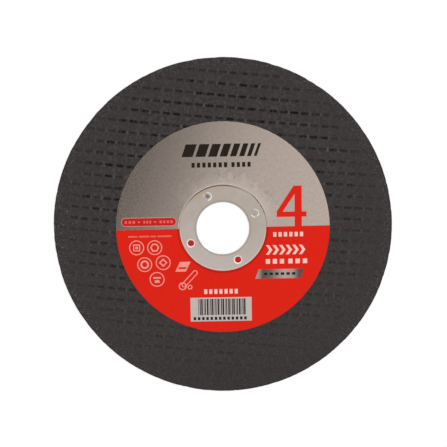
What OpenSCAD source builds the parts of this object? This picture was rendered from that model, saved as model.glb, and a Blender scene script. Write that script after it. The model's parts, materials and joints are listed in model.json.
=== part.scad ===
// Thin flat cut-off wheel: a moulded abrasive disc, a round paper label and a stamped bore ring.
// It lies with the label up. The back face is on z = 0 and the bore's axis is the Z axis.

/* [Abrasive disc] */
// Outer diameter of the wheel
wheel_d = 105; // [95:1:180]
// Thickness of the abrasive
wheel_t = 1; // [0.8:0.1:3.2]
// Bevel round both edges of the rim
rim_bevel = 0.08; // [0.02:0.02:0.3]

/* [Label] */
// Diameter of the label
label_d = 66.3; // [50:0.1:80]
// Thickness of the label
label_t = 0.1; // [0.06:0.02:0.2]
// Height of the label's face above the abrasive
label_proud = 0.02; // [0:0.01:0.05]
// Width of the slope where the label dips under the flange
label_dip_w = 0.3; // [0.2:0.05:0.6]

/* [Bore ring] */
// Diameter of the bore
bore_d = 16; // [10:0.5:20]
// Width of the flange, from the bore to its edge
flange_w = 5.45; // [5:0.05:7]
// Thickness of the ring's sheet
ring_sheet = 0.15; // [0.1:0.01:0.25]
// Height of the flange's face above the abrasive
flange_proud = 0.06; // [0.05:0.01:0.1]
// Radius inside the bend at the mouth of the bore
bend_r = 0.1; // [0.05:0.05:0.2]
// Rounding of the flange's upper edge
flange_edge_r = 0.06; // [0.02:0.01:0.09]

/* [Stake holes] */
// Number of stake holes in the flange
stake_n = 4; // [3:1:6]
// Diameter of a stake hole at the label
stake_d = 2; // [1:0.1:2.4]
// Width of the bevel round a stake hole
stake_bevel = 0.35; // [0.1:0.05:0.5]
// Distance from the flange's edge to the middle of a stake hole
stake_inset = 2.45; // [2.2:0.05:2.8]
// Direction of the first stake hole, in degrees from +X
stake_turn = 25.5; // [0:0.5:90]

/* [Weave] */
// Distance between two rows of slits on the front
row_pitch = 3.5; // [2.5:0.1:6]
// Distance between two slits of a row
slit_pitch = 3.24; // [2.8:0.02:6]
// Length of a slit
slit_l = 2.5; // [1.2:0.1:2.6]
// Width of a slit
slit_w = 0.7; // [0.3:0.05:1]
// Depth of a slit where the weave shows most
slit_depth = 0.1; // [0.04:0.01:0.2]
// Turn of the weave about the bore's axis
weave_turn = -4.9; // [-45:0.1:45]
// Rise of a row's ends above its middle, because the mesh was pressed in with a slight bow
row_bow = 0.8; // [0:0.1:3]
// Direction from the axis in which the weave shows most
weave_side = 105; // [0:5:355]
// Width of the band at the rim in which the weave fades out
weave_fade_w = 12; // [4:1:20]
// Width of a yarn's groove on the back
yarn_w = 0.5; // [0.2:0.05:1]
// Depth of a yarn's groove on the back
yarn_depth = 0.04; // [0.02:0.01:0.1]

/* [Fits] */
// Gap between the label's edge and the abrasive
label_gap = 0.03; // [0.01:0.01:0.1]
// Gap between the flange's edge and the label's slope
flange_gap = 0.1; // [0.05:0.05:0.3]
// Gap between the ring's collar and the abrasive
collar_gap = 0.03; // [0.01:0.01:0.1]
// Plain abrasive between a slit or groove and the nearest edge
weave_margin = 0.2; // [0.1:0.1:2]

/* [Hidden] */
$fn = 180;
// A cut reaches this far past the face that it opens
over = 0.1;

wheel_r = wheel_d / 2;
label_r = label_d / 2;
bore_r = bore_d / 2;
flange_r = bore_r + flange_w;
collar_r = bore_r + ring_sheet;
disc_hole_r = collar_r + collar_gap;
mouth_r = bend_r + ring_sheet;
// The label starts outside the bend, where the flange turns flat
label_hole_r = bore_r + mouth_r + collar_gap;
// The label dips between these two radii
dip_low_r = flange_r + flange_gap;
dip_high_r = dip_low_r + label_dip_w;

flange_top = wheel_t + flange_proud;
flange_under = flange_top - ring_sheet;
label_top = wheel_t + label_proud;
label_under = label_top - label_t;
// The label's underside below the flange, where the disc carries it
seat_z = flange_under - label_t;
stake_r = flange_r - stake_inset;

// Rows and slits to each side of the axis, and which of them the press left deep enough to see
rows = ceil(wheel_r / row_pitch);
columns = ceil(wheel_r / slit_pitch);
row_start = -1.2;
slit_start = -0.8;
slit_tip = slit_w / 2;
slit_shows_from = 0.57;
weave_mean = 0.62;
weave_swing = 0.38;
slit_r_min = label_r + label_gap + weave_margin;
slit_r_max = wheel_r - rim_bevel - weave_margin;

// Middle of a slit, with its row turned and bowed
function slit_place(row, column) =
    let (u = slit_start + column * slit_pitch)
    let (v = row_start + row * row_pitch + row_bow * pow(u / wheel_r, 2))
    [u * cos(weave_turn) - v * sin(weave_turn), u * sin(weave_turn) + v * cos(weave_turn)];

// How clearly the weave shows at a point, from 0 to 1
function weave_shows(p) =
    let (round_the_wheel = weave_mean + weave_swing * cos(atan2(p.y, p.x) - weave_side))
    let (toward_the_rim = min(1, (wheel_r - norm(p)) / weave_fade_w))
    round_the_wheel * toward_the_rim;

// A slit's least and greatest distance from the axis
function slit_span(p) =
    let (along = [cos(weave_turn), sin(weave_turn)])
    let (nearest = max(-slit_l / 2, min(slit_l / 2, -p * along)))
    let (ends = [norm(p - along * slit_l / 2), norm(p + along * slit_l / 2)])
    [norm(p + along * nearest) - slit_w / 2, max(ends) + slit_w / 2];

// One slit: a long hexagon with pointed ends, cut down from the front face
module slit(depth) {
    half_l = slit_l / 2;
    half_w = slit_w / 2;
    straight = half_l - slit_tip;
    translate([0, 0, wheel_t - depth])
        linear_extrude(depth + over)
            polygon([
                [-half_l, 0], [-straight, -half_w], [straight, -half_w],
                [half_l, 0], [straight, half_w], [-straight, half_w]
            ]);
}

// Slits of the woven mesh on the front, outside the label
module front_slits() {
    for (row = [-rows : rows], column = [-columns : columns]) {
        p = slit_place(row, column);
        span = slit_span(p);
        strength = weave_shows(p);
        clear_of_edges = span[0] > slit_r_min && span[1] < slit_r_max;
        if (clear_of_edges && strength > slit_shows_from)
            translate([p.x, p.y, 0])
                rotate(weave_turn)
                    slit(slit_depth * strength);
    }
}

// Grooves between the yarns of the mesh on the back
module back_grooves() {
    translate([0, 0, -over])
        linear_extrude(over + yarn_depth)
            intersection() {
                difference() {
                    circle(wheel_r - rim_bevel - weave_margin);
                    circle(disc_hole_r + weave_margin);
                }
                rotate(-weave_turn)
                    for (row = [-rows : rows])
                        translate([-wheel_r, row_start + row * row_pitch - yarn_w / 2])
                            square([wheel_d, yarn_w]);
            }
}

// Half section of the disc, with the stepped seat for the label and the flange
module disc_section() {
    seat_edge_r = label_r + label_gap;
    polygon([
        [disc_hole_r, 0],
        [wheel_r - rim_bevel, 0],
        [wheel_r, rim_bevel],
        [wheel_r, wheel_t - rim_bevel],
        [wheel_r - rim_bevel, wheel_t],
        [seat_edge_r, wheel_t],
        [seat_edge_r, label_under],
        [dip_high_r, label_under],
        [dip_low_r, seat_z],
        [disc_hole_r, seat_z]
    ]);
}

module abrasive_disc() {
    color([0.235, 0.22, 0.22])
        difference() {
            rotate_extrude()
                disc_section();
            front_slits();
            back_grooves();
        }
}

module label() {
    color([0.6, 0.56, 0.53])
        rotate_extrude()
            polygon([
                [label_hole_r, seat_z],
                [dip_low_r, seat_z],
                [dip_high_r, label_under],
                [label_r, label_under],
                [label_r, label_top],
                [dip_high_r, label_top],
                [dip_low_r, flange_under],
                [label_hole_r, flange_under]
            ]);
}

// Half section of the ring: flange with a rolled edge, bend and collar
module ring_section() {
    bend_at = [bore_r + mouth_r, flange_top - mouth_r];
    roll_at = [flange_r - flange_edge_r, flange_top - flange_edge_r];
    translate([bend_at.x, flange_under])
        square([roll_at.x - bend_at.x, ring_sheet]);
    translate([roll_at.x, flange_under])
        square([flange_edge_r, ring_sheet - flange_edge_r]);
    intersection() {
        translate(roll_at)
            circle(flange_edge_r);
        translate(roll_at)
            square(flange_edge_r);
    }
    intersection() {
        difference() {
            translate(bend_at)
                circle(mouth_r);
            translate(bend_at)
                circle(bend_r);
        }
        translate([bore_r, bend_at.y])
            square(mouth_r);
    }
    translate([bore_r, 0])
        square([ring_sheet, bend_at.y]);
}

// Stake holes, each with a bevel from the flange's face down to the label
module stake_holes() {
    for (k = [0 : stake_n - 1])
        rotate(stake_turn + k * 360 / stake_n)
            translate([stake_r, 0, flange_under]) {
                cylinder(h = ring_sheet, d1 = stake_d, d2 = stake_d + 2 * stake_bevel);
                translate([0, 0, -over])
                    cylinder(h = ring_sheet + over, d = stake_d);
                translate([0, 0, ring_sheet])
                    cylinder(h = over, d = stake_d + 2 * stake_bevel);
            }
}

module bore_ring() {
    color([0.74, 0.71, 0.68])
        difference() {
            rotate_extrude()
                ring_section();
            stake_holes();
        }
}

abrasive_disc();
label();
bore_ring();
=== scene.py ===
"""Looks of a thin cut-off wheel that lies flat with its printed label up.

Lengths are millimetres, apart from the stage's. A mesh is scaled to metres when it is made.
"""
import json
import math

import bmesh
import bpy
import numpy as np
from mathutils import Matrix, Vector
from mathutils.geometry import delaunay_2d_cdt


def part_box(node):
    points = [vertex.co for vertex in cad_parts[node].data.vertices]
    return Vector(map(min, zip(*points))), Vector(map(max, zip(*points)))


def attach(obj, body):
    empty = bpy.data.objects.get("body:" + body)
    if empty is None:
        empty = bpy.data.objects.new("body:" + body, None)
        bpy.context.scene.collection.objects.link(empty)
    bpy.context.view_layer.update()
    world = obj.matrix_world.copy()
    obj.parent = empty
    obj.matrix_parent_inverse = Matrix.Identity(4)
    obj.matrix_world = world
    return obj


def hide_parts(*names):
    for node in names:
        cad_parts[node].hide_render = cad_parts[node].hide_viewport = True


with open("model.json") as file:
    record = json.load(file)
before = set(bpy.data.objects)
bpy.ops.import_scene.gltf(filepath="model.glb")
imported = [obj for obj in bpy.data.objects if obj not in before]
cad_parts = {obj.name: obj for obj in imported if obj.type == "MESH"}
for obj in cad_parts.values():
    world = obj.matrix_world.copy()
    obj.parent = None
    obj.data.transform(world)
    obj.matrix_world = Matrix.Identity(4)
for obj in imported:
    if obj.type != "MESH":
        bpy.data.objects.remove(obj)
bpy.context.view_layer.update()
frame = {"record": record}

MM = 0.001
TURN = 2 * math.pi


def reach(node):
    """Radius of a round CAD node, on its shortest side."""
    low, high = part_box(node)
    return min(high.x, high.y, -low.x, -low.y) / MM


def top_of(node):
    """Height of a CAD node's highest point."""
    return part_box(node)[1].z / MM


# Sizes that the frame gives
WHEEL_R = reach("abrasive_disc")
LABEL_R = reach("label")
FLANGE_R = reach("bore_ring")
WHEEL_T = top_of("abrasive_disc")
LABEL_TOP = top_of("label")
FLANGE_TOP = top_of("bore_ring")
BORE_R = next(m for m in frame["record"]["mounts"] if m["name"] == "arbor_bore")["dims"]["r_mm"]

# Sizes of the solids that the frame doesn't state
RIM_BEVEL = 0.08
LABEL_T = 0.1
LABEL_GAP = 0.03
LABEL_DIP_W = 0.3
FLANGE_GAP = 0.1
COLLAR_GAP = 0.03
RING_SHEET = 0.15
BEND_R = 0.1
FLANGE_EDGE_R = 0.06
STAKE_N = 4
STAKE_D = 2.0
STAKE_BEVEL = 0.35
STAKE_INSET = 2.45
STAKE_TURN = math.radians(25.5)

MOUTH_R = BEND_R + RING_SHEET
COLLAR_R = BORE_R + RING_SHEET
DISC_HOLE_R = COLLAR_R + COLLAR_GAP
LABEL_HOLE_R = BORE_R + MOUTH_R + COLLAR_GAP
LABEL_SEAT_R = LABEL_R + LABEL_GAP
DIP_LOW_R = FLANGE_R + FLANGE_GAP
DIP_HIGH_R = DIP_LOW_R + LABEL_DIP_W
FLANGE_UNDER = FLANGE_TOP - RING_SHEET
LABEL_UNDER = LABEL_TOP - LABEL_T
SEAT_Z = FLANGE_UNDER - LABEL_T
STAKE_R = FLANGE_R - STAKE_INSET
STAKE_ANGLES = [STAKE_TURN + k * TURN / STAKE_N for k in range(STAKE_N)]

# Mesh helpers

# Points round each large circle
ROUND = 480
# Points this close are one: in a plain face, in the printed face, and where skins meet
FACE_MERGE = 1e-7
PRINT_MERGE = 1e-6
SKIN_MERGE = 1e-4
# The kind of triangulation that fills the points' convex hull
FILL_HULL = 0


def circle(x, y, radius, z, count):
    """Points of a circle about x, y. Radius and height may vary from point to point."""
    angles = np.arange(count) * TURN / count
    z = np.broadcast_to(z, count)
    return np.stack([x + radius * np.cos(angles), y + radius * np.sin(angles), z], 1)


def loop(radius, z):
    """Points of a large circle about the bore's axis."""
    return circle(0.0, 0.0, radius, z, ROUND)


def seat_loops(outer_r, inner_r):
    """Loops of the stepped seat between disc and label, from its outer edge to a hole."""
    section = ((outer_r, LABEL_UNDER), (DIP_HIGH_R, LABEL_UNDER), (DIP_LOW_R, SEAT_Z), (inner_r, SEAT_Z))
    return [loop(r, z) for r, z in section]


def closed_edges(start, count):
    """Edges that join count points, from start on, into a ring."""
    return [(start + k, start + (k + 1) % count) for k in range(count)]


def triangles_between(points, edges, holes):
    """Delaunay triangles of the points, seen from above, that keep the edges.

    Each hole is the (start, count) of the points on its rim. The space round a piece is given as a hole too.
    """
    flat = [Vector((p[0], p[1])) for p in points]
    _, _, made, origins, _, _ = delaunay_2d_cdt(flat, edges, [], FILL_HULL, FACE_MERGE)
    source = [o[0] for o in origins]
    hole_of = np.full(len(points), -1)
    for number, (start, count) in enumerate(holes):
        hole_of[start:start + count] = number
    kept = []
    for triangle in made:
        corners = [source[i] for i in triangle]
        inside = {int(hole_of[i]) for i in corners}
        if len(inside) > 1 or inside == {-1}:
            kept.append(corners)
    return kept


def add_object(name, data):
    """Puts an object into the scene."""
    made = bpy.data.objects.new(name, data)
    bpy.context.scene.collection.objects.link(made)
    return made


class Piece:
    """Gathers the skins of one piece and makes them one closed mesh."""

    def __init__(self, name):
        self.name = name
        self.points = []
        self.faces = []
        self.slots = []
        self.pits = []

    def add(self, points, faces, slot=0, pits=0.0):
        """Adds a skin. A pit says how dark a point of the abrasive is, or how pale where it is negative."""
        start = len(self.points)
        self.points.extend(map(tuple, points))
        self.pits.extend(np.broadcast_to(pits, len(points)))
        self.faces.extend([start + i for i in face] for face in faces)
        self.slots.extend(np.broadcast_to(slot, len(faces)))

    def bridge(self, loops, slot=0):
        """Quads from each loop of points to the next."""
        count = len(loops[0])
        quads = []
        for k in range(len(loops) - 1):
            for a, b in closed_edges(0, count):
                quads.append([k * count + a, k * count + b, (k + 1) * count + b, (k + 1) * count + a])
        self.add(np.concatenate(loops), quads, slot)

    def make(self, materials, sharp_deg):
        """The object, shaded smooth except across edges that bend by more than sharp_deg."""
        mesh = bpy.data.meshes.new(self.name)
        mesh.from_pydata((np.array(self.points) * MM).tolist(), [], self.faces)
        pit = mesh.attributes.new("pit", "FLOAT", "POINT")
        pit.data.foreach_set("value", np.array(self.pits, np.float32))
        mesh.polygons.foreach_set("material_index", np.array(self.slots, np.int32))
        for material in materials:
            mesh.materials.append(material)
        shape = bmesh.new()
        shape.from_mesh(mesh)
        bmesh.ops.remove_doubles(shape, verts=shape.verts, dist=SKIN_MERGE * MM)
        bmesh.ops.recalc_face_normals(shape, faces=shape.faces)
        shape.to_mesh(mesh)
        shape.free()
        mesh.shade_smooth()
        mesh.set_sharp_from_angle(angle=math.radians(sharp_deg))
        return add_object(self.name, mesh)


class Face:
    """Gathers the points of a face between two circles, and the edges that its triangles keep."""

    def __init__(self, inner, outer, outer_pit=0.0):
        self.points = []
        self.pits = []
        self.edges = []
        self.holes = []
        self.count = 0
        self.edge(inner)
        self.edge(outer, outer_pit)

    def edge(self, points, pits=0.0):
        """Adds a ring of points on whose other side there is no face."""
        self.holes.append((self.count, len(points)))
        self.ring(points[:, :2], points[:, 2], pits)

    def scatter(self, xy, z, pits):
        """Adds loose points and gives the number of the first."""
        start = self.count
        self.points.append(np.column_stack([xy, np.broadcast_to(z, len(xy))]))
        self.pits.append(np.broadcast_to(pits, len(xy)))
        self.count += len(xy)
        return start

    def line(self, xy, z, pits):
        start = self.scatter(xy, z, pits)
        self.edges += [(k, k + 1) for k in range(start, self.count - 1)]

    def ring(self, xy, z, pits):
        start = self.scatter(xy, z, pits)
        self.edges += closed_edges(start, len(xy))

    def skin(self, piece, slot=0):
        """Adds the face to a piece."""
        points = np.concatenate(self.points)
        triangles = triangles_between(points, self.edges, self.holes)
        piece.add(points, triangles, slot, np.concatenate(self.pits))


# Shader helpers

# Sockets of the Mix node when it mixes colours
MIX_FACTOR = 0
MIX_A = 6
MIX_B = 7
MIX_RESULT = 2
# Most of a noise lies between these two values
NOISE_LOW = 0.3
NOISE_HIGH = 0.7
# Part of a soft ring's half width that has its full strength
BAND_CORE = 0.4


def new_material(name):
    """A material, its node tree and its Principled shader."""
    material = bpy.data.materials.new(name)
    material.use_nodes = True
    return material, material.node_tree, material.node_tree.nodes["Principled BSDF"]


def is_socket(value):
    return isinstance(value, bpy.types.NodeSocket)


def feed(tree, node, inputs):
    """Gives a node its inputs. Each is a constant or another node's socket."""
    for name, value in inputs.items():
        if is_socket(value):
            tree.links.new(value, node.inputs[name])
        else:
            node.inputs[name].default_value = value


def put(tree, kind, inputs=None, **settings):
    """Adds a node with its settings and inputs."""
    made = tree.nodes.new(kind)
    for name, value in settings.items():
        setattr(made, name, value)
    feed(tree, made, inputs or {})
    return made


def vector_math(tree, operation, a, b=(0.0, 0.0, 0.0)):
    return put(tree, "ShaderNodeVectorMath", {0: a, 1: b}, operation=operation).outputs


def place(tree):
    """Coordinates that stay with the piece, in metres."""
    return put(tree, "ShaderNodeTexCoord").outputs["Object"]


def from_axis(tree):
    """Distance from the bore's axis, in metres."""
    flat = vector_math(tree, "MULTIPLY", place(tree), (1.0, 1.0, 0.0))["Vector"]
    return vector_math(tree, "LENGTH", flat)["Value"]


def along(tree, degrees):
    """Distance from the axis in one direction, in metres."""
    way = (math.cos(math.radians(degrees)), math.sin(math.radians(degrees)), 0.0)
    return vector_math(tree, "DOT_PRODUCT", place(tree), way)["Value"]


def noise(tree, grain_mm, detail=2.0, roughness=0.5, where=None):
    """Noise whose spots are about grain_mm across, from 0 to 1."""
    where = place(tree) if where is None else where
    inputs = {"Vector": where, "Scale": 1 / (grain_mm * MM), "Detail": detail, "Roughness": roughness}
    return put(tree, "ShaderNodeTexNoise", inputs).outputs["Fac"]


def cells(tree, size_mm):
    """A random value for each grain of about size_mm."""
    made = put(tree, "ShaderNodeTexVoronoi", {"Vector": place(tree), "Scale": 1 / (size_mm * MM)})
    return put(tree, "ShaderNodeSeparateColor", {"Color": made.outputs["Color"]}).outputs["Red"]


def ramp(tree, value, low, high, to_low=0.0, to_high=1.0):
    """Value between low and high, mapped to a new range and held at its ends."""
    inputs = {"Value": value, "From Min": low, "From Max": high, "To Min": to_low, "To Max": to_high}
    return put(tree, "ShaderNodeMapRange", inputs).outputs["Result"]


def ramp_mm(tree, length, low, high, to_low=0.0, to_high=1.0):
    """The same for a length in metres, between limits in millimetres."""
    return ramp(tree, length, low * MM, high * MM, to_low, to_high)


def mottle(tree, grain_mm, detail, roughness=0.5, to_low=0.0, to_high=1.0):
    """Noise whose usual range is mapped to a new one."""
    return ramp(tree, noise(tree, grain_mm, detail, roughness), NOISE_LOW, NOISE_HIGH, to_low, to_high)


def calc(tree, operation, a, b=0.0):
    return put(tree, "ShaderNodeMath", {0: a, 1: b}, operation=operation).outputs[0]


def times(tree, a, b):
    return calc(tree, "MULTIPLY", a, b)


def band(tree, radius_mm, half_mm, strength):
    """A soft ring about the axis: strength at its middle, 0 past half_mm to each side."""
    off = calc(tree, "ABSOLUTE", calc(tree, "SUBTRACT", from_axis(tree), radius_mm * MM))
    return ramp_mm(tree, off, BAND_CORE * half_mm, half_mm, strength, 0.0)


def blend(tree, factor, a, b):
    """Colour a where factor is 0 and b where it is 1."""
    a, b = (colour if is_socket(colour) else (*colour, 1.0) for colour in (a, b))
    inputs = {MIX_FACTOR: factor, MIX_A: a, MIX_B: b}
    return put(tree, "ShaderNodeMix", inputs, data_type="RGBA").outputs[MIX_RESULT]


def bump(tree, height, depth_mm, under=None):
    """A normal bent by a height, on top of another normal where one is given."""
    inputs = {"Height": height, "Strength": 1.0, "Distance": depth_mm * MM}
    if under is not None:
        inputs["Normal"] = under
    return put(tree, "ShaderNodeBump", inputs).outputs["Normal"]


# Directions of wear, of painted light and shade, and of sheen, in degrees from +X
RIGHT_WAY = 0
UPPER_WAY = 90
LEFT_WAY = 180
LOWER_WAY = 270
SMOOTH_RIM_WAY = 275
HIGHLIGHT_WAY = 75
FLANGE_SHADOW_WAY = 103
REFLECTION_WAY = 250
WARM_WAY = 112

# Material of the abrasive, with its colours in linear light

GRAIN_SIZE = 0.4
GRAIN = ((0.032, 0.0275, 0.027), (0.047, 0.041, 0.0397))
DARK_SPECK = (0.019, 0.0165, 0.016)
PALE_SPECK = (0.095, 0.088, 0.085)
YARN_STREAK = (0.072, 0.064, 0.062)
# Width of a streak of buried yarn as a share of its length
STREAK_NARROW = 0.25
# Dark grit at the rim, and painted shade on the wheel's lower side
RIM_DARK_GRIT_AND_SHADE = (0.013, 0.011, 0.011)
RIM_PALE = (0.13, 0.121, 0.117)
# Distances from the rim between which its grit begins
RIM_GRIT_FROM = 4.0
RIM_GRIT_FULL = 1.5
# Pale specks near the rim on the left
LEFT_RIM_SPECK = (0.2, 0.188, 0.18)
YARN_CROSSING = (0.105, 0.097, 0.094)
# Darker resin in the slits and grooves, with painted shade in them
SLIT_DARK_AND_SHADE = (0.003, 0.0027, 0.0027)


def across_rows(tree):
    """Coordinates that draw a noise out along Y, about across the rows of the weave."""
    inputs = {"Vector": place(tree), "Rotation": (0.0, 0.0, -WEAVE_TURN), "Scale": (1.0, STREAK_NARROW, 1.0)}
    return put(tree, "ShaderNodeMapping", inputs).outputs["Vector"]


def grain_body(tree, grains, streak_place):
    """Grain in resin, with dark and pale specks and streaks of buried yarn."""
    specks = noise(tree, 0.5, 2.0, 0.6)
    streaks = noise(tree, 0.45, 1.0, 0.5, streak_place)
    body = blend(tree, ramp(tree, grains, 0.1, 0.9), *GRAIN)
    body = blend(tree, ramp(tree, specks, 0.35, 0.25, 0.0, 0.6), body, DARK_SPECK)
    body = blend(tree, ramp(tree, streaks, 0.6, 0.75, 0.0, 0.4), body, YARN_STREAK)
    return blend(tree, ramp(tree, specks, 0.62, 0.74, 0.0, 0.45), body, PALE_SPECK)


def rim_wear_and_shade(tree, body):
    """Grit at the rim, which is smoother on the lower side and has pale specks on the left, and painted shade
    that darkens the lower side.
    """
    lower = along(tree, SMOOTH_RIM_WAY)
    # Painted shade: the wheel's lower side is darkened a little
    painted_lower_shade = ramp_mm(tree, lower, 0.7 * WHEEL_R, 0.95 * WHEEL_R, 0.0, 0.12)
    body = blend(tree, painted_lower_shade, body, RIM_DARK_GRIT_AND_SHADE)
    near_rim = ramp_mm(tree, from_axis(tree), WHEEL_R - RIM_GRIT_FROM, WHEEL_R - RIM_GRIT_FULL, 0.0, 0.7)
    rough = times(tree, near_rim, ramp_mm(tree, lower, 0.55 * WHEEL_R, 0.85 * WHEEL_R, 1.0, 0.25))
    grit = noise(tree, 0.45, 1.0)
    body = blend(tree, times(tree, rough, ramp(tree, grit, 0.4, 0.3)), body, RIM_DARK_GRIT_AND_SHADE)
    body = blend(tree, times(tree, rough, ramp(tree, grit, 0.6, 0.72)), body, RIM_PALE)
    speckled_side = ramp_mm(tree, along(tree, LEFT_WAY), 0.84 * WHEEL_R, 0.9 * WHEEL_R, 0.0, 0.5)
    pale_specks = times(tree, speckled_side, ramp(tree, noise(tree, 0.7, 0.0), 0.77, 0.81))
    return blend(tree, pale_specks, body, LEFT_RIM_SPECK)


def weave_marks(tree, body, streak_place):
    """Pale crossings of the yarns and dark slits, where the mesh's pits put them. The slits' dark is partly
    darker resin and partly painted shade in the pits.
    """
    pit = put(tree, "ShaderNodeAttribute", attribute_name="pit").outputs["Fac"]
    body = blend(tree, ramp(tree, pit, 0.0, -1.0), body, YARN_CROSSING)
    yarn_ends = ramp(tree, noise(tree, 0.5, 2.0, 0.6, streak_place), 0.38, 0.54, 0.3, 1.0)
    return blend(tree, times(tree, ramp(tree, pit, 0.0, 1.0), yarn_ends), body, SLIT_DARK_AND_SHADE)


def abrasive_material():
    """Dark grain in resin, worn at the rim, in which the woven mesh shows, with painted shade in its slits
    and grooves and on its lower side.
    """
    material, tree, shader = new_material("abrasive_grain")
    grains = cells(tree, GRAIN_SIZE)
    streak_place = across_rows(tree)
    body = grain_body(tree, grains, streak_place)
    body = rim_wear_and_shade(tree, body)
    body = weave_marks(tree, body, streak_place)
    fine = bump(tree, noise(tree, 0.16, 2.0), 0.02)
    feed(tree, shader, {
        "Base Color": body,
        "Roughness": ramp(tree, grains, 0.0, 1.0, 0.75, 0.95),
        "Normal": bump(tree, grains, 0.02, fine),
        "Specular IOR Level": 0.15,
    })
    return material


# Materials of the label. An ink has two colours that lie in blotches

SILVER_INK = ((0.445, 0.37, 0.322), (0.53, 0.442, 0.386))
# Painted shadow of the ring's flange on the red ink
RED_SHADOW = (0.4, 0.01, 0.006)
# Scuffs, and painted highlight on one side near the ring
SILVER_SCUFF_AND_HIGHLIGHT = (0.68, 0.59, 0.53)
# Painted highlight in patches near the ring
SILVER_HIGHLIGHT_PATCH = (0.63, 0.565, 0.535)
SILVER_SMUDGE = (0.33, 0.26, 0.22)
SILVER_SPECK = (0.2, 0.16, 0.14)
# Painted highlight along the paper's crease by the ring
SILVER_CREASE_HIGHLIGHT = (0.8, 0.7, 0.63)
# Painted shadow along the ring's flange, on the label and on the ring
FLANGE_SHADOW = (0.05, 0.04, 0.033)
# Sheen along the badge: place from end to end, and brightness
BADGE_SHEEN = (
    (0.0, 0.42), (0.1, 0.3), (0.17, 0.1), (0.32, 0.14), (0.6, 0.42), (0.78, 0.36), (0.9, 0.1), (1.0, 0.09)
)
BADGE_TINT = (1.0, 0.8, 0.75)


def paper_bump(tree):
    """The slight unevenness of printed paper."""
    return bump(tree, noise(tree, 0.5, 3.0), 0.001)


def ink_material(name, *colours, blotch_mm=1.3, specular=0.1, wear_and_light=None):
    """Matt ink. A function given with it, called with tree and body, may change its colour in places with
    wear or painted light and shade.
    """
    material, tree, shader = new_material(name)
    body = blend(tree, mottle(tree, blotch_mm, 5.0, 0.7), *colours)
    if wear_and_light:
        body = wear_and_light(tree, body)
    feed(tree, shader, {
        "Base Color": body,
        "Roughness": mottle(tree, 0.7, 3.0, 0.5, 0.45, 0.55),
        "Normal": paper_bump(tree),
        "Specular IOR Level": specular,
    })
    return material


def red_shadow_line(tree, body):
    """Painted shadow: a darker line in the red round the ring, where the paper was pressed down."""
    return blend(tree, band(tree, DIP_HIGH_R, 0.5, 0.7), body, RED_SHADOW)


def flange_shadow_line(tree, radius_mm, half_mm):
    """Painted shadow: a dark line along the flange's edge, strongest in one direction and gone on the other
    side.
    """
    shaded_side = ramp_mm(tree, along(tree, FLANGE_SHADOW_WAY), 0.6 * FLANGE_R, 0.95 * FLANGE_R)
    return times(tree, shaded_side, band(tree, radius_mm, half_mm, 0.75))


def silver_wear_and_light(tree, body):
    """Scuffs, smudges and specks, painted highlights on one side of the ring, in patches and along the crease
    where the paper was pressed round the ring, and a painted shadow line at the flange's edge.
    """
    near_ring = ramp_mm(tree, from_axis(tree), DIP_HIGH_R + 0.3, DIP_HIGH_R + 4.0, 1.0, 0.0)
    # Painted highlight: the side of the ring that catches the light
    highlit_side = ramp_mm(tree, along(tree, HIGHLIGHT_WAY), 0.3 * FLANGE_R, 0.7 * FLANGE_R, 0.0, 0.5)
    scuffs = ramp(tree, noise(tree, 2.6, 3.0, 0.55), 0.46, 0.7, 0.0, 0.4)
    scuffed_and_highlit = times(tree, near_ring, calc(tree, "MAXIMUM", highlit_side, scuffs))
    body = blend(tree, scuffed_and_highlit, body, SILVER_SCUFF_AND_HIGHLIGHT)
    highlight_zone = ramp_mm(tree, from_axis(tree), DIP_HIGH_R + 3.0, DIP_HIGH_R + 7.0, 0.8, 0.0)
    highlight_zone = times(tree, highlight_zone, highlit_side)
    patches = times(tree, highlight_zone, ramp(tree, noise(tree, 3.0, 3.0, 0.55), 0.54, 0.6))
    body = blend(tree, patches, body, SILVER_HIGHLIGHT_PATCH)
    smudges = times(tree, highlight_zone, ramp(tree, noise(tree, 2.0, 2.0), 0.38, 0.32))
    body = blend(tree, smudges, body, SILVER_SMUDGE)
    specks = ramp(tree, noise(tree, 0.7, 3.0, 0.6), 0.29, 0.22, 0.0, 0.3)
    body = blend(tree, specks, body, SILVER_SPECK)
    # Painted highlight along the crease
    crease_highlight = times(tree, highlit_side, band(tree, DIP_HIGH_R + 0.15, 0.45, 0.35))
    body = blend(tree, crease_highlight, body, SILVER_CREASE_HIGHLIGHT)
    return blend(tree, flange_shadow_line(tree, DIP_LOW_R - 0.05, 0.15), body, FLANGE_SHADOW)


def silver_material():
    """Satin metallic ink, worn round the ring, where it also has painted highlights and a painted shadow
    line.
    """
    material, tree, shader = new_material("silver_ink")
    body = blend(tree, mottle(tree, 0.9, 5.0, 0.75), *SILVER_INK)
    feed(tree, shader, {
        "Base Color": silver_wear_and_light(tree, body),
        "Roughness": mottle(tree, 0.6, 3.0, 0.5, 0.215, 0.255),
        "Normal": paper_bump(tree),
        "Metallic": 1.0,
    })
    return material


def badge_material():
    """A metal band whose sheen runs from bright to dark and back along the badge."""
    material, tree, shader = new_material("badge_ink")
    across = ramp_mm(tree, along(tree, RIGHT_WAY), BADGE_L, BADGE_R)
    stops = put(tree, "ShaderNodeValToRGB", {"Fac": across})
    elements = stops.color_ramp.elements
    for where, _ in BADGE_SHEEN[1:-1]:
        elements.new(where)
    for stop, (_, grey) in zip(elements, BADGE_SHEEN):
        stop.color = (*(grey * tint for tint in BADGE_TINT), 1.0)
    feed(tree, shader, {
        "Base Color": stops.outputs["Color"],
        "Roughness": 0.4,
        "Normal": paper_bump(tree),
        "Specular IOR Level": 0.1,
    })
    return material


# Materials of the ring. A metal has two colours that lie in a fine mottle

TINPLATE = ((0.43, 0.37, 0.315), (0.47, 0.405, 0.347))
# The bore's wall and mouth painted near white: a painted reflection
BORE_PAINTED_REFLECTION = ((0.92, 0.91, 0.9), (0.97, 0.96, 0.95))
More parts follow.
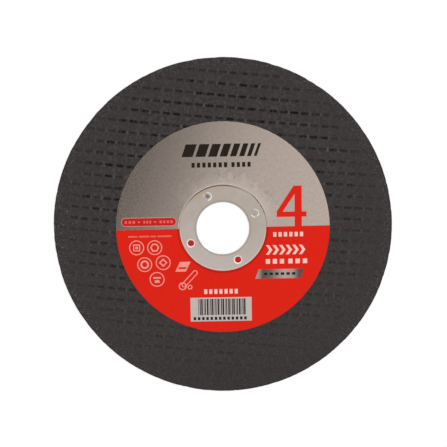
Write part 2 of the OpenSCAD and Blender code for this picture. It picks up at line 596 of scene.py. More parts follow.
# Stake bevels painted pale all round: a painted highlight
BEVEL_PAINTED_HIGHLIGHT = ((0.78, 0.73, 0.69), (0.86, 0.81, 0.77))

TIN_PATCH = (0.475, 0.425, 0.385)
# Painted reflection that brightens the ring toward its lower side
TIN_PAINTED_REFLECTION = (0.56, 0.49, 0.455)
TIN_WARM = (0.46, 0.36, 0.27)
# A darker line round the bore's mouth
TIN_MOUTH_LINE = (0.24, 0.21, 0.19)
# Painted highlight on the flange's lower edge
TIN_EDGE_HIGHLIGHT = (0.72, 0.65, 0.6)
# Painted shade on the upper bevels
BEVEL_PAINTED_SHADE = (0.4, 0.345, 0.305)
# How much a metal's roughness varies to each side
METAL_UNEVEN = 0.06


def metal_material(name, colours, roughness, metallic, wear_and_light=None):
    """Stamped sheet. A function given with it, called with tree and body, may change its colour in places
    with wear or painted light and shade.
    """
    material, tree, shader = new_material(name)
    body = blend(tree, mottle(tree, 1.0, 5.0, 0.75), *colours)
    if wear_and_light:
        body = wear_and_light(tree, body)
    feed(tree, shader, {
        "Base Color": body,
        "Roughness": mottle(tree, 0.4, 3.0, 0.5, roughness - METAL_UNEVEN, roughness + METAL_UNEVEN),
        "Normal": bump(tree, noise(tree, 0.35, 3.0), 0.002),
        "Metallic": metallic,
    })
    return material


def ring_tone_and_light(tree, body):
    """Patches, a painted reflection that makes it brighter toward the lower side, a darker line round the
    bore, a painted shadow line along the edge and a painted highlight on the lower edge.
    """
    patches = ramp(tree, noise(tree, 4.0, 2.0), 0.45, 0.65, 0.0, 0.6)
    body = blend(tree, patches, body, TIN_PATCH)
    # Painted reflection, brighter toward the lower side
    painted_reflection = ramp_mm(tree, along(tree, REFLECTION_WAY), -2.0, FLANGE_R, 0.0, 0.8)
    body = blend(tree, painted_reflection, body, TIN_PAINTED_REFLECTION)
    warm = ramp_mm(tree, along(tree, WARM_WAY), 0.8 * FLANGE_R, 0.9 * FLANGE_R, 0.0, 0.7)
    body = blend(tree, warm, body, TIN_WARM)
    body = blend(tree, band(tree, BORE_R + MOUTH_R + 0.33, 0.3, 0.4), body, TIN_MOUTH_LINE)
    # Painted highlight along the flange's lower edge
    highlight_zone = ramp_mm(tree, from_axis(tree), FLANGE_R - 0.5, FLANGE_R - 0.25, 0.0, 0.5)
    lower = times(tree, highlight_zone, ramp_mm(tree, along(tree, LOWER_WAY), -1.0, 4.0))
    body = blend(tree, lower, body, TIN_EDGE_HIGHLIGHT)
    return blend(tree, flange_shadow_line(tree, FLANGE_R - 0.05, 0.3), body, FLANGE_SHADOW)


def bevel_shade(tree, body):
    """Painted shade: on the wheel's upper side a bevel is darkened by which way it faces, most on its left,
    so that its bright rim looks broken.
    """
    upper = ramp_mm(tree, along(tree, UPPER_WAY), -2.0, 2.0)
    normal = put(tree, "ShaderNodeNewGeometry").outputs["Normal"]
    faces_right = put(tree, "ShaderNodeSeparateXYZ", {"Vector": normal}).outputs["X"]
    uneven = calc(tree, "ADD", faces_right, mottle(tree, 0.9, 1.0, 0.5, -0.5, 0.5))
    painted_shade = times(tree, upper, ramp(tree, uneven, -0.15, 0.15))
    return blend(tree, painted_shade, body, BEVEL_PAINTED_SHADE)


# Abrasive disc: the woven mesh shows as rows of slits on the front and as grooves on the back

ROW_PITCH = 3.5
SLIT_PITCH = 3.24
SLIT_L = 2.5
SLIT_W = 0.7
SLIT_DEPTH = 0.1
ROW_START = -1.2
SLIT_START = -0.8
ROW_BOW = 0.8
WEAVE_TURN = math.radians(-4.9)
WEAVE_SIDE = math.radians(105)
WEAVE_MEAN = 0.62
WEAVE_SWING = 0.38
WEAVE_FADE_W = 12.0
YARN_W = 0.5
YARN_DEPTH = 0.04
ROWS = math.ceil(WHEEL_R / ROW_PITCH)
COLUMNS = math.ceil(WHEEL_R / SLIT_PITCH)

# Lip, rim and floor of a slit: distance from the label's seat, inset at its ends and at its sides, and tone
SLIT_STEPS = ((0.04, -0.09, -0.09, 0.25), (0.08, 0.0, 0.0, 0.9), (0.15, 0.15, 0.09, 1.0))
SLIT_RIM_DROP = 0.004
SLIT_LEAST_DEPTH = 0.01
# A slit under the label's edge is left out if less than this share of it shows
SLIT_LEAST_SHARE = 0.4
# How chance changes a slit's depth and tone, its length and its place, and the place of a crossing
PRESS_RANGE = (0.55, 1.65)
STRETCH_RANGE = (0.9, 1.05)
SLIT_SHIFT = 0.08
CROSSING_SHIFT = 0.05
# Tone of the slits: its least value, how fast it falls round the wheel and at the rim, and what is left out
TONE_LEAST = 0.2
TONE_SIDE_POWER = 2.0
TONE_RIM_POWER = 0.72
TONE_RIM_SIDE_POWER = 0.65
TONE_DROPPED = 0.05

# Grain between the slits: spacing, lines between two rows, distance from a row, jitter, depth and tone
GRAIN_STEP = 0.58
GRAIN_LINES = 5
GRAIN_CLEAR = 0.62
GRAIN_JITTER_U = 0.2
GRAIN_JITTER_V = 0.08
GRAIN_DEPTH = 0.03
GRAIN_CONTRAST = 0.17
# Plain abrasive between the grain or the weave and an edge
EDGE_CLEAR = 0.2

# Section of a groove on the back: place across it in its widths, and share of its depth
GROOVE_SECTION = ((-0.5, 0.0), (-0.2, 1.0), (0.2, 1.0), (0.5, 0.0))
GROOVE_STEP = SLIT_PITCH / 4
GROOVE_JITTER = 0.1
# Darkness painted into a groove, partly its own tone and partly painted shade
GROOVE_TONE = 0.8
KNOT_MEAN = 0.6
KNOT_SWING = 0.4

# Wear of the rim: its usual and its greatest depth, and how many points to each side a chip takes in
CHIP_DEPTH = 0.05
CHIP_MOST = 0.15
CHIP_REACHES = (0, 1, 3, 7)
CHIP_SEED = 3
# Roughness of the rim's edges and of its wall, loops on the wall, and tone of the upper edge
EDGE_ROUGH = 0.01
WALL_ROUGH = 0.04
WALL_LOOPS = 5
EDGE_TONE = 0.4
DISC_SEED = 7
DISC_SHARP_DEG = 40


def woven(u, v, turn):
    """Points given along and across the rows, turned and bowed as the mesh lies."""
    v = v + ROW_BOW * (u / WHEEL_R) ** 2
    return np.stack([u * math.cos(turn) - v * math.sin(turn), u * math.sin(turn) + v * math.cos(turn)], -1)


def weave_fades(xy):
    """How clearly the weave shows at each point, from 0 to 1: by its side of the wheel, and at the rim."""
    angle = np.arctan2(xy[..., 1], xy[..., 0])
    side = WEAVE_MEAN + WEAVE_SWING * np.cos(angle - WEAVE_SIDE)
    rim = np.clip((WHEEL_R - np.hypot(xy[..., 0], xy[..., 1])) / WEAVE_FADE_W, 0, 1)
    return side, rim


def weave_shows(xy):
    """How deep the weave is pressed at each point, from 0 to 1."""
    side, rim = weave_fades(xy)
    return side * rim


def weave_tone(xy):
    """How dark the weave looks at each point, from 0 to 1."""
    side, rim = weave_fades(xy)
    by_side = TONE_LEAST + (1 - TONE_LEAST) * side ** TONE_SIDE_POWER
    return by_side * rim ** (TONE_RIM_POWER / side ** TONE_RIM_SIDE_POWER)


def within(xy, low, high):
    """Whether each point lies between two radii."""
    radius = np.hypot(xy[..., 0], xy[..., 1])
    return (radius > low) & (radius < high)


def grain_points(rng, turn, low, high):
    """Jittered points between the rows of the weave and between two radii."""
    lines = np.linspace(GRAIN_CLEAR, ROW_PITCH - GRAIN_CLEAR, GRAIN_LINES)
    v = (ROW_START + np.arange(-ROWS - 1, ROWS + 1)[:, None] * ROW_PITCH + lines).ravel()
    u = np.arange(-WHEEL_R, WHEEL_R, GRAIN_STEP)
    u, v = (a.ravel() for a in np.meshgrid(u, v))
    u = u + rng.uniform(-GRAIN_JITTER_U, GRAIN_JITTER_U, u.shape)
    v = v + rng.uniform(-GRAIN_JITTER_V, GRAIN_JITTER_V, v.shape)
    xy = woven(u, v, turn)
    return xy[within(xy, low, high)]


def slit_outline(half_l, half_w):
    """A long hexagon with pointed ends, along u."""
    flat = half_l - half_w
    return np.array([
        (-half_l, 0), (-flat, -half_w), (flat, -half_w), (half_l, 0), (flat, half_w), (-flat, half_w)
    ])


def area(xy):
    x, y = xy[:, 0], xy[:, 1]
    return abs(np.dot(x, np.roll(y, -1)) - np.dot(y, np.roll(x, -1))) / 2


def cut_off(xy, way, least):
    """The part of a convex outline that lies at least that far along way."""
    ahead = xy @ way - least
    kept = []
    for k in range(len(xy)):
        if ahead[k - 1] * ahead[k] < 0:
            kept.append(xy[k - 1] + (xy[k] - xy[k - 1]) * ahead[k - 1] / (ahead[k - 1] - ahead[k]))
        if ahead[k] >= 0:
            kept.append(xy[k])
    return np.array(kept)


def slit_loops(row, column, stretch, shift):
    """Lip, rim and floor of one slit, cut off at the label's edge. None where too little of it is left."""
    middle = np.array([SLIT_START + column * SLIT_PITCH + shift, ROW_START + row * ROW_PITCH])
    way = woven(*middle, WEAVE_TURN)
    way = way / np.hypot(*way)
    loops = []
    for from_seat, end_inset, side_inset, _ in SLIT_STEPS:
        outline = slit_outline(stretch * SLIT_L / 2 - end_inset, SLIT_W / 2 - side_inset) + middle
        whole = woven(outline[:, 0], outline[:, 1], WEAVE_TURN)
        left = cut_off(whole, way, LABEL_SEAT_R + from_seat)
        if len(left) < 3 or area(left) < SLIT_LEAST_SHARE * area(whole):
            return None
        loops.append(left)
    return loops


def crossing(row, column, shift):
    """A short line between two slits of a row, where a yarn of the other direction comes up."""
    u = np.full(3, SLIT_START + (column + 0.5) * SLIT_PITCH + shift)
    v = ROW_START + row * ROW_PITCH + np.array([-SLIT_W / 2, 0.0, SLIT_W / 2])
    return woven(u, v, WEAVE_TURN)


def press_slit(face, loops, press):
    """Adds the loops of a slit to the front, deep and dark by their place on the wheel and by chance."""
    strength = min(1.0, float(weave_shows(loops[0]).mean()) * press)
    dark = min(1.0, float(weave_tone(loops[0]).mean()) * press)
    if dark < TONE_DROPPED:
        return
    drops = (0.0, SLIT_RIM_DROP, SLIT_LEAST_DEPTH + SLIT_DEPTH * strength)
    for xy, drop, (*_, tone) in zip(loops, drops, SLIT_STEPS):
        face.ring(xy, WHEEL_T - drop, tone * dark)


def disc_front(piece, inner, outer, rng):
    """The front face from the label's seat to the rim, with a pit for each slit."""
    low = LABEL_SEAT_R + EDGE_CLEAR
    high = WHEEL_R - RIM_BEVEL - EDGE_CLEAR
    face = Face(inner, outer, EDGE_TONE)
    grain = grain_points(rng, WEAVE_TURN, low, high)
    heights = WHEEL_T - GRAIN_DEPTH * rng.uniform(0, 1, len(grain)) ** 2
    uneven = GRAIN_CONTRAST * weave_tone(grain) * rng.normal(0, 1, len(grain))
    face.scatter(grain, heights, uneven)
    for row in range(-ROWS, ROWS + 1):
        for column in range(-COLUMNS, COLUMNS + 1):
            press = rng.uniform(*PRESS_RANGE)
            stretch = rng.uniform(*STRETCH_RANGE)
            loops = slit_loops(row, column, stretch, rng.uniform(-SLIT_SHIFT, SLIT_SHIFT))
            stroke = crossing(row, column, rng.uniform(-CROSSING_SHIFT, CROSSING_SHIFT))
            pale = rng.uniform(0, 1) ** 2
            if within(stroke, low, high).all():
                face.line(stroke, WHEEL_T, -pale * weave_shows(stroke))
            if loops is not None and within(np.concatenate(loops), LABEL_SEAT_R, high).all():
                press_slit(face, loops, press)
    face.skin(piece)


def disc_back(piece, inner, outer, rng):
    """The back face, where the yarns of the mesh leave shallow grooves."""
    low = DISC_HOLE_R + EDGE_CLEAR
    high = WHEEL_R - RIM_BEVEL - EDGE_CLEAR
    face = Face(inner, outer)
    grain = grain_points(rng, -WEAVE_TURN, low, high)
    face.scatter(grain, GRAIN_DEPTH * rng.uniform(0, 1, len(grain)) ** 2, 0.0)
    steps = np.arange(-WHEEL_R, WHEEL_R, GROOVE_STEP)
    for row in range(-ROWS, ROWS + 1):
        for side, deep in GROOVE_SECTION:
            u = steps + rng.uniform(-GROOVE_JITTER, GROOVE_JITTER, steps.shape)
            v = np.full(steps.shape, ROW_START + row * ROW_PITCH + side * YARN_W)
            xy = woven(u, v, -WEAVE_TURN)
            shown = within(xy, low, high)
            knots = (KNOT_MEAN + KNOT_SWING * np.cos(TURN * (u - SLIT_START) / SLIT_PITCH))[shown]
            face.scatter(xy[shown], deep * YARN_DEPTH * knots, deep * GROOVE_TONE * knots)
    face.skin(piece)


def rim_chips():
    """How far the rim is worn in at each point of a circle."""
    rng = np.random.default_rng(CHIP_SEED)
    rough = np.zeros(ROUND)
    for span in CHIP_REACHES:
        draws = rng.normal(0, 1, ROUND)
        near = [np.roll(draws, k) for k in range(-span, span + 1)]
        rough += np.sum(near, 0) / math.sqrt(len(near) * len(CHIP_REACHES))
    return np.clip(CHIP_DEPTH * rough, 0, CHIP_MOST)


def build_disc():
    rng = np.random.default_rng(DISC_SEED)
    worn_r = WHEEL_R - rim_chips()
    piece = Piece("abrasive_disc_pressed")
    front_inner = loop(LABEL_SEAT_R, WHEEL_T)
    front_outer = loop(worn_r - RIM_BEVEL, WHEEL_T - EDGE_ROUGH * rng.uniform(0, 1, ROUND))
    back_inner = loop(DISC_HOLE_R, 0.0)
    back_outer = loop(worn_r - RIM_BEVEL, EDGE_ROUGH * rng.uniform(0, 1, ROUND))
    disc_front(piece, front_inner, front_outer, rng)
    disc_back(piece, back_inner, back_outer, rng)
    wall_heights = np.linspace(WHEEL_T - RIM_BEVEL, RIM_BEVEL, WALL_LOOPS)
    wall = [loop(worn_r - WALL_ROUGH * rng.uniform(0, 1, ROUND) ** 2, z) for z in wall_heights]
    piece.bridge([front_outer, *wall, back_outer])
    piece.bridge([front_inner, *seat_loops(LABEL_SEAT_R, DISC_HOLE_R), back_inner])
    disc = piece.make([abrasive_material()], DISC_SHARP_DEG)
    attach(disc, "root")
    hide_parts("abrasive_disc")


# Label: simple printed shapes in its own frame, which is turned a little on the wheel

PRINT_TURN = math.radians(1.04)
LABEL_EDGE_W = 0.08
LABEL_EDGE_DROP = 0.015
LABEL_SHARP_DEG = 5
# Radii at which the label's face bends, and its height there
LABEL_RADII = (LABEL_HOLE_R, DIP_LOW_R, DIP_HIGH_R, LABEL_R - LABEL_EDGE_W, LABEL_R)
LABEL_LEVELS = (FLANGE_UNDER, FLANGE_UNDER, LABEL_TOP, LABEL_TOP, LABEL_TOP - LABEL_EDGE_DROP)
# A point this close to a circle lies on it
ON_CIRCLE = 0.002
INKS = (
    "silver", "red", "pale", "soft", "faint", "dark", "badge", "panel", "pressed_silver", "deep_red", "smudge"
)

# Upper edge of the red field: its height in the middle and its slope
RED_TOP = 0.11
RED_SLOPE = 0.0072
# The large numeral: left, low, width, height
NUMERAL = (16.75, 0.0, 9.25, 12.9)

# A span is left, low, right, high. A row of blocks has their number too
PILL = (-31.5, 1.0, -14.4, 3.72)
PILL_STROKE = 0.14
PILL_ROWS = ((-30.4, 1.9, -27.2, 2.75, 3), (-24.6, 1.9, -22.2, 2.75, 3), (-19.6, 1.9, -15.5, 2.75, 4))
PILL_DASHES = ((-26.3, 2.1, -25.6, 2.6), (-21.3, 2.1, -20.6, 2.6))
FINE_LOW = -2.45
FINE_HIGH = -1.95
FINE_DASHES = ((-29.5, -26.6), (-26.2, -22.9), (-22.5, -20.8), (-20.4, -16.0))
PALE_ROWS = (
    (15.6, -2.95, 24.9, -1.55, 6),
    (13.2, -11.5, 18.9, -10.0, 3),
    (20.2, -11.5, 26.1, -10.0, 3),
    (-6.2, -20.8, 4.3, -19.3, 7),
)
DARK_ROWS = ((-9.3, 19.0, 1.7, 20.5, 7), (3.0, 19.0, 8.9, 20.5, 4))
BADGE_ROW = (12.6, -15.1, 22.4, -14.3, 6)
# Part of a block's step that is left open
BLOCK_GAP = 0.4

BADGE_L = 9.85
BADGE_R = 25.2
BADGE_LOW = -16.2
BADGE_HIGH = -13.2
BADGE_LEAN_L = 1.1
BADGE_LEAN_R = 1.4

# The first chevron: left, low, width, height, stroke
CHEVRON = (13.3, -8.6, 2.0, 3.0, 0.95)
CHEVRON_N = 6
CHEVRON_STEP = 2.05

STRIPE_N = 8
STRIPE_L = -12.3
STRIPE_LOW = 22.3
STRIPE_H = 3.9
STRIPE_W = 3.4
STRIPE_NARROWS = 0.36
STRIPE_GAP = 0.85
STRIPE_LEAN = 1.4

# The row of thin bars: its panel, its span, the thinnest bar and the row of blocks below
CODE_PANEL = (-10.6, -29.6, 8.6, -21.95)
CODE_BARS = (-8.2, -27.6, 6.9, -22.4)
CODE_UNIT = 0.16
CODE_ROW = (-9.7, -29.2, 7.0, -28.2, 13)

# Middles of the round marks
MARKS = ((-26.94, -5.73), (-21.32, -5.75), (-24.59, -11.08), (-18.81, -10.56), (-20.86, -15.84))
MARK_R = 2.34
MARK_STROKE = 0.31

# The slanted plate and its slot: left, low, width, height, lean
PLATE = (-15.1, -13.5, 3.3, 3.1, 1.55)
PLATE_SLOT = (-14.2, -12.7, 2.4, 0.6, 0.3)
# The slanted rod: its span before the tilt, its stroke, place and tilt, and the two rings at its end
ROD = (-2.9, -0.8, 3.9, 0.8)
ROD_STROKE = 0.3
ROD_AT = (-11.0, -16.2)
ROD_TILT_DEG = 47
ROD_RINGS = ((-12.9, -18.2, 1.25, 0.35), (-10.6, -18.5, 0.75, 0.3))

# The paper that shows in the stake holes, by the holes' numbers
SILVER_STAKES = (0, 1)
RED_STAKES = (2, 3)
SMUDGED_STAKES = (1,)
STAKE_DOT_R = STAKE_D / 2 + 0.1
SMUDGE_R = 0.55

DOT_POINTS = 40
BAR_END_POINTS = 12


def box(x0, y0, x1, y1):
    return [[(x0, y0), (x1, y0), (x1, y1), (x0, y1)]]


def inset(span, by):
    """A span that is smaller by so much on each side."""
    x0, y0, x1, y1 = span
    return x0 + by, y0 + by, x1 - by, y1 - by


def arc(x, y, radius, start_deg, end_deg, count):
    angles = np.radians(np.linspace(start_deg, end_deg, count))
    return [(x + radius * math.cos(a), y + radius * math.sin(a)) for a in angles]


def dot(x, y, radius, count=DOT_POINTS):
    return [arc(x, y, radius, 0, 360, count + 1)[:-1]]


def hoop(x, y, radius, stroke, count=DOT_POINTS):
    return dot(x, y, radius, count) + dot(x, y, radius - stroke, count)


def bar(x0, y0, x1, y1):
    """A bar with round ends."""
    r = (y1 - y0) / 2
    y = (y0 + y1) / 2
    return [arc(x1 - r, y, r, -90, 90, BAR_END_POINTS) + arc(x0 + r, y, r, 90, 270, BAR_END_POINTS)]


def hollow_square(half, stroke):
    """The outline of a square about the origin."""
    span = (-half, -half, half, half)
    return box(*span) + box(*inset(span, stroke))


def leaning(x, y, width, height, lean):
    """A box whose top is moved to the right by lean."""
    return [[(x, y), (x + width, y), (x + width + lean, y + height), (x + lean, y + height)]]


def chevron(x, y, width, height, stroke):
    top, middle, tip = y + height, y + height / 2, x + width
    return [[(x, y), (x + stroke, y), (tip, middle), (x + stroke, top), (x, top), (tip - stroke, middle)]]


def tilted(contours, x, y, degrees):
    """Contours turned about the origin and then moved to x, y."""
    c, s = math.cos(math.radians(degrees)), math.sin(math.radians(degrees))
    return [[(x + px * c - py * s, y + px * s + py * c) for px, py in contour] for contour in contours]


def joined(shapes):
    """The contours of several shapes as one list."""
    return [contour for shape in shapes for contour in shape]


def blocks(x0, y0, x1, y1, count):
    """A row of equal blocks with small gaps."""
    step = (x1 - x0) / (count - BLOCK_GAP)
    return joined(box(x0 + k * step, y0, x0 + (k + 1 - BLOCK_GAP) * step, y1) for k in range(count))


def block_rows(rows):
    return joined(blocks(*row) for row in rows)


def red_field():
    """Everything below the red field's edge, out past the label."""
    out = 1.2 * LABEL_R
    return [[(-out, -out), (out, -out), (out, RED_TOP + out * RED_SLOPE), (-out, RED_TOP - out * RED_SLOPE)]]


def numeral_four(x, y, width, height):
    """A plain numeral with a triangular counter. x, y is its lower left corner."""
    stem_l, stem_r, right = x + 0.6 * width, x + 0.84 * width, x + width
    bar_low, bar_high, top = y + 0.25 * height, y + 0.375 * height, y + height
    outer = [
        (stem_l, y), (stem_r, y), (stem_r, bar_low), (right, bar_low), (right, bar_high), (stem_r, bar_high),
        (stem_r, top), (x + 0.57 * width, top), (x, bar_high + 0.01 * height), (x, bar_low), (stem_l, bar_low)
    ]
    counter = [(stem_l, bar_high), (stem_l, y + 0.8 * height), (x + 0.2 * width, bar_high)]
    return [outer, counter]


def stripes():
    """Leaning stripes that get narrower from left to right."""
    made = []
    x = STRIPE_L
    for k in range(STRIPE_N):
        width = STRIPE_W - STRIPE_NARROWS * k
        made += leaning(x, STRIPE_LOW, width, STRIPE_H, STRIPE_LEAN)
        x += width + STRIPE_GAP
    return made


def chevrons():
    left, *others = CHEVRON
    return joined(chevron(left + CHEVRON_STEP * k, *others) for k in range(CHEVRON_N))


def badge():
    low_r = BADGE_R - BADGE_LEAN_R
    high_l = BADGE_L + BADGE_LEAN_L
    return [[(BADGE_L, BADGE_LOW), (low_r, BADGE_LOW), (BADGE_R, BADGE_HIGH), (high_l, BADGE_HIGH)]]


def bar_code():
    """Dark bars of one to three units with gaps of one or two, by a fixed rule."""
    x, low, right, high = CODE_BARS
    made = []
    k = 0
    while x < right:
        width = CODE_UNIT * (1 + (k * 7) % 3)
        made += box(x, low, x + width, high)
        x += width + CODE_UNIT * (1 + (k * 5 + 1) % 2)
        k += 1
    return made


def mark_shapes():
    """A plain shape in the middle of each round mark."""
    shapes = (
        hollow_square(1.1, 0.35) + dot(0.0, 0.0, 0.45),
        hoop(0.0, 0.0, 1.45, 0.5, 6),
        hoop(0.0, 0.0, 1.35, 0.55),
        tilted(hollow_square(0.95, 0.4), 0.0, 0.0, 45),
        box(-1.2, 0.2, 1.2, 0.75) + box(-0.75, -1.1, 0.75, -0.3),
    )
    return joined(tilted(shape, x, y, 0) for shape, (x, y) in zip(shapes, MARKS))


def stake_dots(numbers, radius):
    """A dot on the paper in the middle of each numbered stake hole."""
    ways = (STAKE_ANGLES[k] - PRINT_TURN for k in numbers)
    return joined(dot(STAKE_R * math.cos(way), STAKE_R * math.sin(way), radius) for way in ways)


def print_layers():
    """Each ink and its shapes, in the order in which they are printed."""
    fine_line = joined(box(x0, FINE_LOW, x1, FINE_HIGH) for x0, x1 in FINE_DASHES)
    pill_line = block_rows(PILL_ROWS) + joined(box(*dash) for dash in PILL_DASHES)
    return [
        ("red", red_field()),
        ("red", numeral_four(*NUMERAL)),
        ("soft", bar(*PILL)),
        ("deep_red", bar(*inset(PILL, PILL_STROKE))),
        ("faint", fine_line + pill_line),
        ("soft", joined(hoop(*at, MARK_R, MARK_STROKE) for at in MARKS) + mark_shapes()),
        ("pale", chevrons() + block_rows(PALE_ROWS)),
        ("soft", leaning(*PLATE) + leaning(*PLATE_SLOT)),
        ("soft", tilted(bar(*ROD) + bar(*inset(ROD, ROD_STROKE)), *ROD_AT, ROD_TILT_DEG)),
        ("soft", joined(hoop(*ring) for ring in ROD_RINGS)),
        ("badge", badge()),
        ("dark", blocks(*BADGE_ROW)),
        ("panel", box(*CODE_PANEL)),
        ("dark", bar_code() + blocks(*CODE_ROW)),
        ("dark", stripes()),
        ("dark", block_rows(DARK_ROWS)),
        ("pressed_silver", stake_dots(SILVER_STAKES, STAKE_DOT_R)),
        ("deep_red", stake_dots(RED_STAKES, STAKE_DOT_R)),
        ("smudge", stake_dots(SMUDGED_STAKES, SMUDGE_R)),
    ]


def to_corners(flat, radius):
    """Moves the points on a circle's edges to its nearest corners, where the skin beside the face begins."""
    on_circle = np.abs(np.hypot(flat[:, 0], flat[:, 1]) - radius) < ON_CIRCLE
    step = TURN / ROUND
    angles = step * np.round(np.arctan2(flat[on_circle, 1], flat[on_circle, 0]) / step)
    flat[on_circle] = radius * np.stack([np.cos(angles), np.sin(angles)], 1)


def label_face(piece):
    """The printed face, cut into triangles along the outline of each shape.

    A triangle takes the last ink whose contours hold it an odd number of times.
    """
    points = [tuple(p) for r in LABEL_RADII for p in loop(r, 0.0)[:, :2]]
    edges = [e for k in range(len(LABEL_RADII)) for e in closed_edges(k * ROUND, ROUND)]
    hole = list(range(ROUND))
    rim = list(range((len(LABEL_RADII) - 1) * ROUND, len(LABEL_RADII) * ROUND))
    layers = [("silver", [])] + print_layers()
    faces = [hole, rim]
    owners = [0, 0]
    for number, (_, contours) in enumerate(layers):
        for contour in contours:
            faces.append(list(range(len(points), len(points) + len(contour))))
            owners.append(number)
            points += contour
    flat = [Vector(p) for p in points]
    flat, _, triangles, _, _, within_faces = delaunay_2d_cdt(flat, edges, faces, FILL_HULL, PRINT_MERGE)
    flat = np.array([tuple(p) for p in flat])
    to_corners(flat, LABEL_HOLE_R)
    to_corners(flat, LABEL_R)
    kept = []
    slots = []
    for triangle, holders in zip(triangles, within_faces):
        counts = np.bincount([owners[f] for f in holders], minlength=len(layers))
        printed = np.flatnonzero(counts % 2)
        if 0 in printed:
            kept.append(triangle)
            slots.append(INKS.index(layers[printed[-1]][0]))
    heights = np.interp(np.hypot(flat[:, 0], flat[:, 1]), LABEL_RADII, LABEL_LEVELS)
    piece.add(np.column_stack([flat, heights]), kept, slots)


def ink_materials():
    """One material for each name in INKS."""
    return [
        silver_material(),
        ink_material("red_ink", (0.69, 0.0135, 0.005), (0.72, 0.0165, 0.007), specular=0.06, wear_and_light=red_shadow_line),
        ink_material("pale_ink", (0.88, 0.53, 0.46), (0.92, 0.59, 0.52)),
        ink_material("soft_ink", (0.82, 0.26, 0.21), (0.87, 0.34, 0.28)),
        ink_material("faint_ink", (0.82, 0.11, 0.09), (0.86, 0.14, 0.12)),
        ink_material("dark_ink", (0.014, 0.009, 0.006), (0.02, 0.013, 0.009)),
        badge_material(),
        ink_material("panel_ink", (0.5, 0.44, 0.41), (0.54, 0.48, 0.45)),
        ink_material("pressed_silver", (0.28, 0.25, 0.225), (0.52, 0.46, 0.42), blotch_mm=0.7),
        ink_material("deep_red", (0.45, 0.012, 0.01), (0.58, 0.016, 0.012)),
        ink_material("smudge", (0.05, 0.042, 0.036), (0.34, 0.3, 0.27), blotch_mm=0.6),
    ]


def build_label():
    piece = Piece("label_printed")
    label_face(piece)
    rim = loop(LABEL_R, LABEL_TOP - LABEL_EDGE_DROP)
    hole = loop(LABEL_HOLE_R, FLANGE_UNDER)
    piece.bridge([rim, *seat_loops(LABEL_R, LABEL_HOLE_R), hole], INKS.index("panel"))
    c, s = math.cos(PRINT_TURN), math.sin(PRINT_TURN)
    piece.points = [(x * c - y * s, x * s + y * c, z) for x, y, z in piece.points]
    label = piece.make(ink_materials(), LABEL_SHARP_DEG)
    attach(label, "root")
    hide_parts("label")


# Bore ring: flange, bend and collar of one sheet, with bevelled stake holes

STAKE_ROUND = 48
CORNER_LOOPS = 10
# The bend is painted near white like the bore, a painted reflection, from this loop on
MOUTH_REFLECTION_FROM = 2
RING_SHARP_DEG = 12
# Material slots
TIN_SLOT = 0
BORE_SLOT = 1
BEVEL_SLOT = 2


def stake_loops(radius, z):
    """A circle of points for each stake hole."""
    places = ((STAKE_R * math.cos(way), STAKE_R * math.sin(way)) for way in STAKE_ANGLES)
    return [circle(x, y, radius, z, STAKE_ROUND) for x, y in places]


def pierced(piece, inner, outer, stakes):
    """A flat ring of sheet with the stake holes cut out."""
    face = Face(inner, outer)
    for stake in stakes:
        face.edge(stake)
    face.skin(piece, TIN_SLOT)


def round_corner(x, z, radius, start_deg, end_deg):
    """Loops of a corner that is rounded about x, z."""
    angles = np.radians(np.linspace(start_deg, end_deg, CORNER_LOOPS))
    return [loop(x + radius * math.cos(a), z + radius * math.sin(a)) for a in angles]


def build_ring():
    piece = Piece("bore_ring_stamped")
    bend_x, bend_z = BORE_R + MOUTH_R, FLANGE_TOP - MOUTH_R
    edge_x, edge_z = FLANGE_R - FLANGE_EDGE_R, FLANGE_TOP - FLANGE_EDGE_R
    top_inner, top_outer = loop(bend_x, FLANGE_TOP), loop(edge_x, FLANGE_TOP)
    under_inner, under_outer = loop(bend_x, FLANGE_UNDER), loop(FLANGE_R, FLANGE_UNDER)
    top_stakes = stake_loops(STAKE_D / 2 + STAKE_BEVEL, FLANGE_TOP)
    under_stakes = stake_loops(STAKE_D / 2, FLANGE_UNDER)
    pierced(piece, top_inner, top_outer, top_stakes)
    pierced(piece, under_inner, under_outer, under_stakes)
    for upper, lower in zip(top_stakes, under_stakes):
        piece.bridge([upper, lower], BEVEL_SLOT)
    piece.bridge([*round_corner(edge_x, edge_z, FLANGE_EDGE_R, 90, 0), under_outer], TIN_SLOT)
    mouth = round_corner(bend_x, bend_z, MOUTH_R, 90, 180)
    inside = round_corner(bend_x, bend_z, BEND_R, 180, 90)
    collar = [loop(BORE_R, 0.0), loop(COLLAR_R, 0.0)]
    piece.bridge(mouth[:MOUTH_REFLECTION_FROM + 1], TIN_SLOT)
    piece.bridge([*mouth[MOUTH_REFLECTION_FROM:], collar[0]], BORE_SLOT)
    piece.bridge([*collar, *inside], TIN_SLOT)
    metals = [
        metal_material("tinplate", TINPLATE, 0.6, 0.3, ring_tone_and_light),
        metal_material("bore_painted_reflection", BORE_PAINTED_REFLECTION, 0.35, 0.6),
        metal_material("stake_bevel", BEVEL_PAINTED_HIGHLIGHT, 0.6, 0.2, bevel_shade),
    ]
    ring = piece.make(metals, RING_SHARP_DEG)
    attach(ring, "root")
    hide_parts("bore_ring")


# Stage: floor, light and camera, with the floor, the lamp and the flag placed in metres

FLOOR_HALF = 2.0
# The floor lies this many millimetres below the back face, so that the two never coincide
FLOOR_DROP = 0.02
FLOOR_COLOUR = (0.95, 0.95, 0.95, 1.0)
FLOOR_GLOW = 0.85
GLOW_STRENGTH = 1.03
WHITE = (1.0, 1.0, 1.0, 1.0)
TENT_LEVEL = 0.8
KEY_POWER = 4.0
KEY_SIZE = 0.5
KEY_PLACE = Vector((0.5, 0.6, 0.9))
# Corners of the dark card above the wheel's upper left
FLAG_CORNERS = [(-0.9, -0.9, 1.0), (-0.375, -0.9, 1.0), (0.271, 0.7, 1.0), (-0.4, 0.7, 1.0)]
FLAG_COLOUR = (0.03, 0.03, 0.03, 1.0)

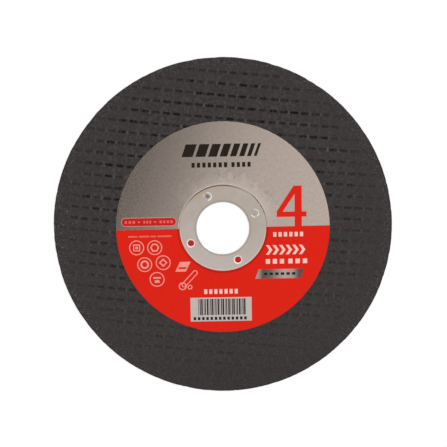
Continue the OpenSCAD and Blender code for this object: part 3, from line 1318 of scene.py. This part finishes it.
# Camera in millimetres and pixels, solved from the wheel's circles in the photograph
PICTURE_PX = 447
FOCAL_PX = 1029.6
WHEEL_CENTRE_PX = (222.85, 228.2)
CAMERA_DISTANCE = 319.5
CAMERA_TILT = math.radians(9.26)
CAMERA_CLIP = 10.0


def seen_directly(tree):
    """1 for rays that show the background: straight to the camera, mirrored or through glass."""
    path = put(tree, "ShaderNodeLightPath").outputs
    mirrored = calc(tree, "MAXIMUM", path["Is Glossy Ray"], path["Is Transmission Ray"])
    return calc(tree, "MAXIMUM", path["Is Camera Ray"], mirrored)


def sheet(name, corners, material):
    """A flat backdrop, not part of the object."""
    mesh = bpy.data.meshes.new(name)
    mesh.from_pydata(corners, [], [(0, 1, 2, 3)])
    mesh.materials.append(material)
    made = add_object(name, mesh)
    return made


def build_floor():
    """White floor that keeps a soft shadow."""
    material, tree, shader = new_material("floor_white")
    feed(tree, shader, {"Base Color": FLOOR_COLOUR, "Roughness": 1.0, "Specular IOR Level": 0.0})
    glow = put(tree, "ShaderNodeEmission", {"Color": WHITE, "Strength": GLOW_STRENGTH}).outputs[0]
    share = times(tree, seen_directly(tree), FLOOR_GLOW)
    mixed = put(tree, "ShaderNodeMixShader", {0: share, 1: shader.outputs[0], 2: glow})
    feed(tree, tree.nodes["Material Output"], {"Surface": mixed.outputs[0]})
    h, z = FLOOR_HALF, -FLOOR_DROP * MM
    sheet("floor", [(-h, -h, z), (h, -h, z), (h, h, z), (-h, h, z)], material)


def build_light():
    """A white tent all round and a soft key lamp."""
    world = bpy.data.worlds.new("tent")
    bpy.context.scene.world = world
    world.use_nodes = True
    tree = world.node_tree
    level = ramp(tree, seen_directly(tree), 0.0, 1.0, TENT_LEVEL, 1.0)
    feed(tree, tree.nodes["Background"], {"Color": WHITE, "Strength": level})
    lamp = bpy.data.lights.new("key", "AREA")
    lamp.shape = "DISK"
    lamp.size = KEY_SIZE
    lamp.energy = KEY_POWER
    key = add_object("key", lamp)
    key.location = KEY_PLACE
    key.rotation_mode = "QUATERNION"
    key.rotation_quaternion = (-KEY_PLACE).to_track_quat("-Z", "Y")


def build_flag():
    """A studio's black flag. Only shiny surfaces see it."""
    material, tree, shader = new_material("flag_cloth")
    feed(tree, shader, {"Base Color": FLAG_COLOUR, "Roughness": 1.0})
    flag = sheet("flag", FLAG_CORNERS, material)
    flag.visible_camera = False
    flag.visible_diffuse = False
    flag.visible_shadow = False


def build_camera():
    """The photograph's view: almost straight down, tilted so that the label's top is nearer."""
    c, s = math.cos(CAMERA_TILT), math.sin(CAMERA_TILT)
    right = Vector((1.0, 0.0, 0.0))
    up = Vector((0.0, c, -s))
    centre = Vector((0.0, 0.0, WHEEL_T))
    eye = centre + CAMERA_DISTANCE * Vector((0.0, s, c))
    off_x = PICTURE_PX / 2 - WHEEL_CENTRE_PX[0]
    off_y = WHEEL_CENTRE_PX[1] - PICTURE_PX / 2
    aim = centre + (right * off_x + up * off_y) * CAMERA_DISTANCE / FOCAL_PX
    back = (eye - aim).normalized()
    right = up.cross(back).normalized()
    up = back.cross(right)
    data = bpy.data.cameras.new("camera")
    data.lens = data.sensor_width * FOCAL_PX / PICTURE_PX
    data.clip_start = CAMERA_CLIP * MM
    camera = add_object("camera", data)
    camera.matrix_world = Matrix.Translation(eye * MM) @ Matrix((right, up, back)).transposed().to_4x4()
    bpy.context.scene.camera = camera


build_camera()
build_floor()
build_light()
build_flag()
build_disc()
build_label()
build_ring()
bpy.context.scene.view_settings.view_transform = "Standard"
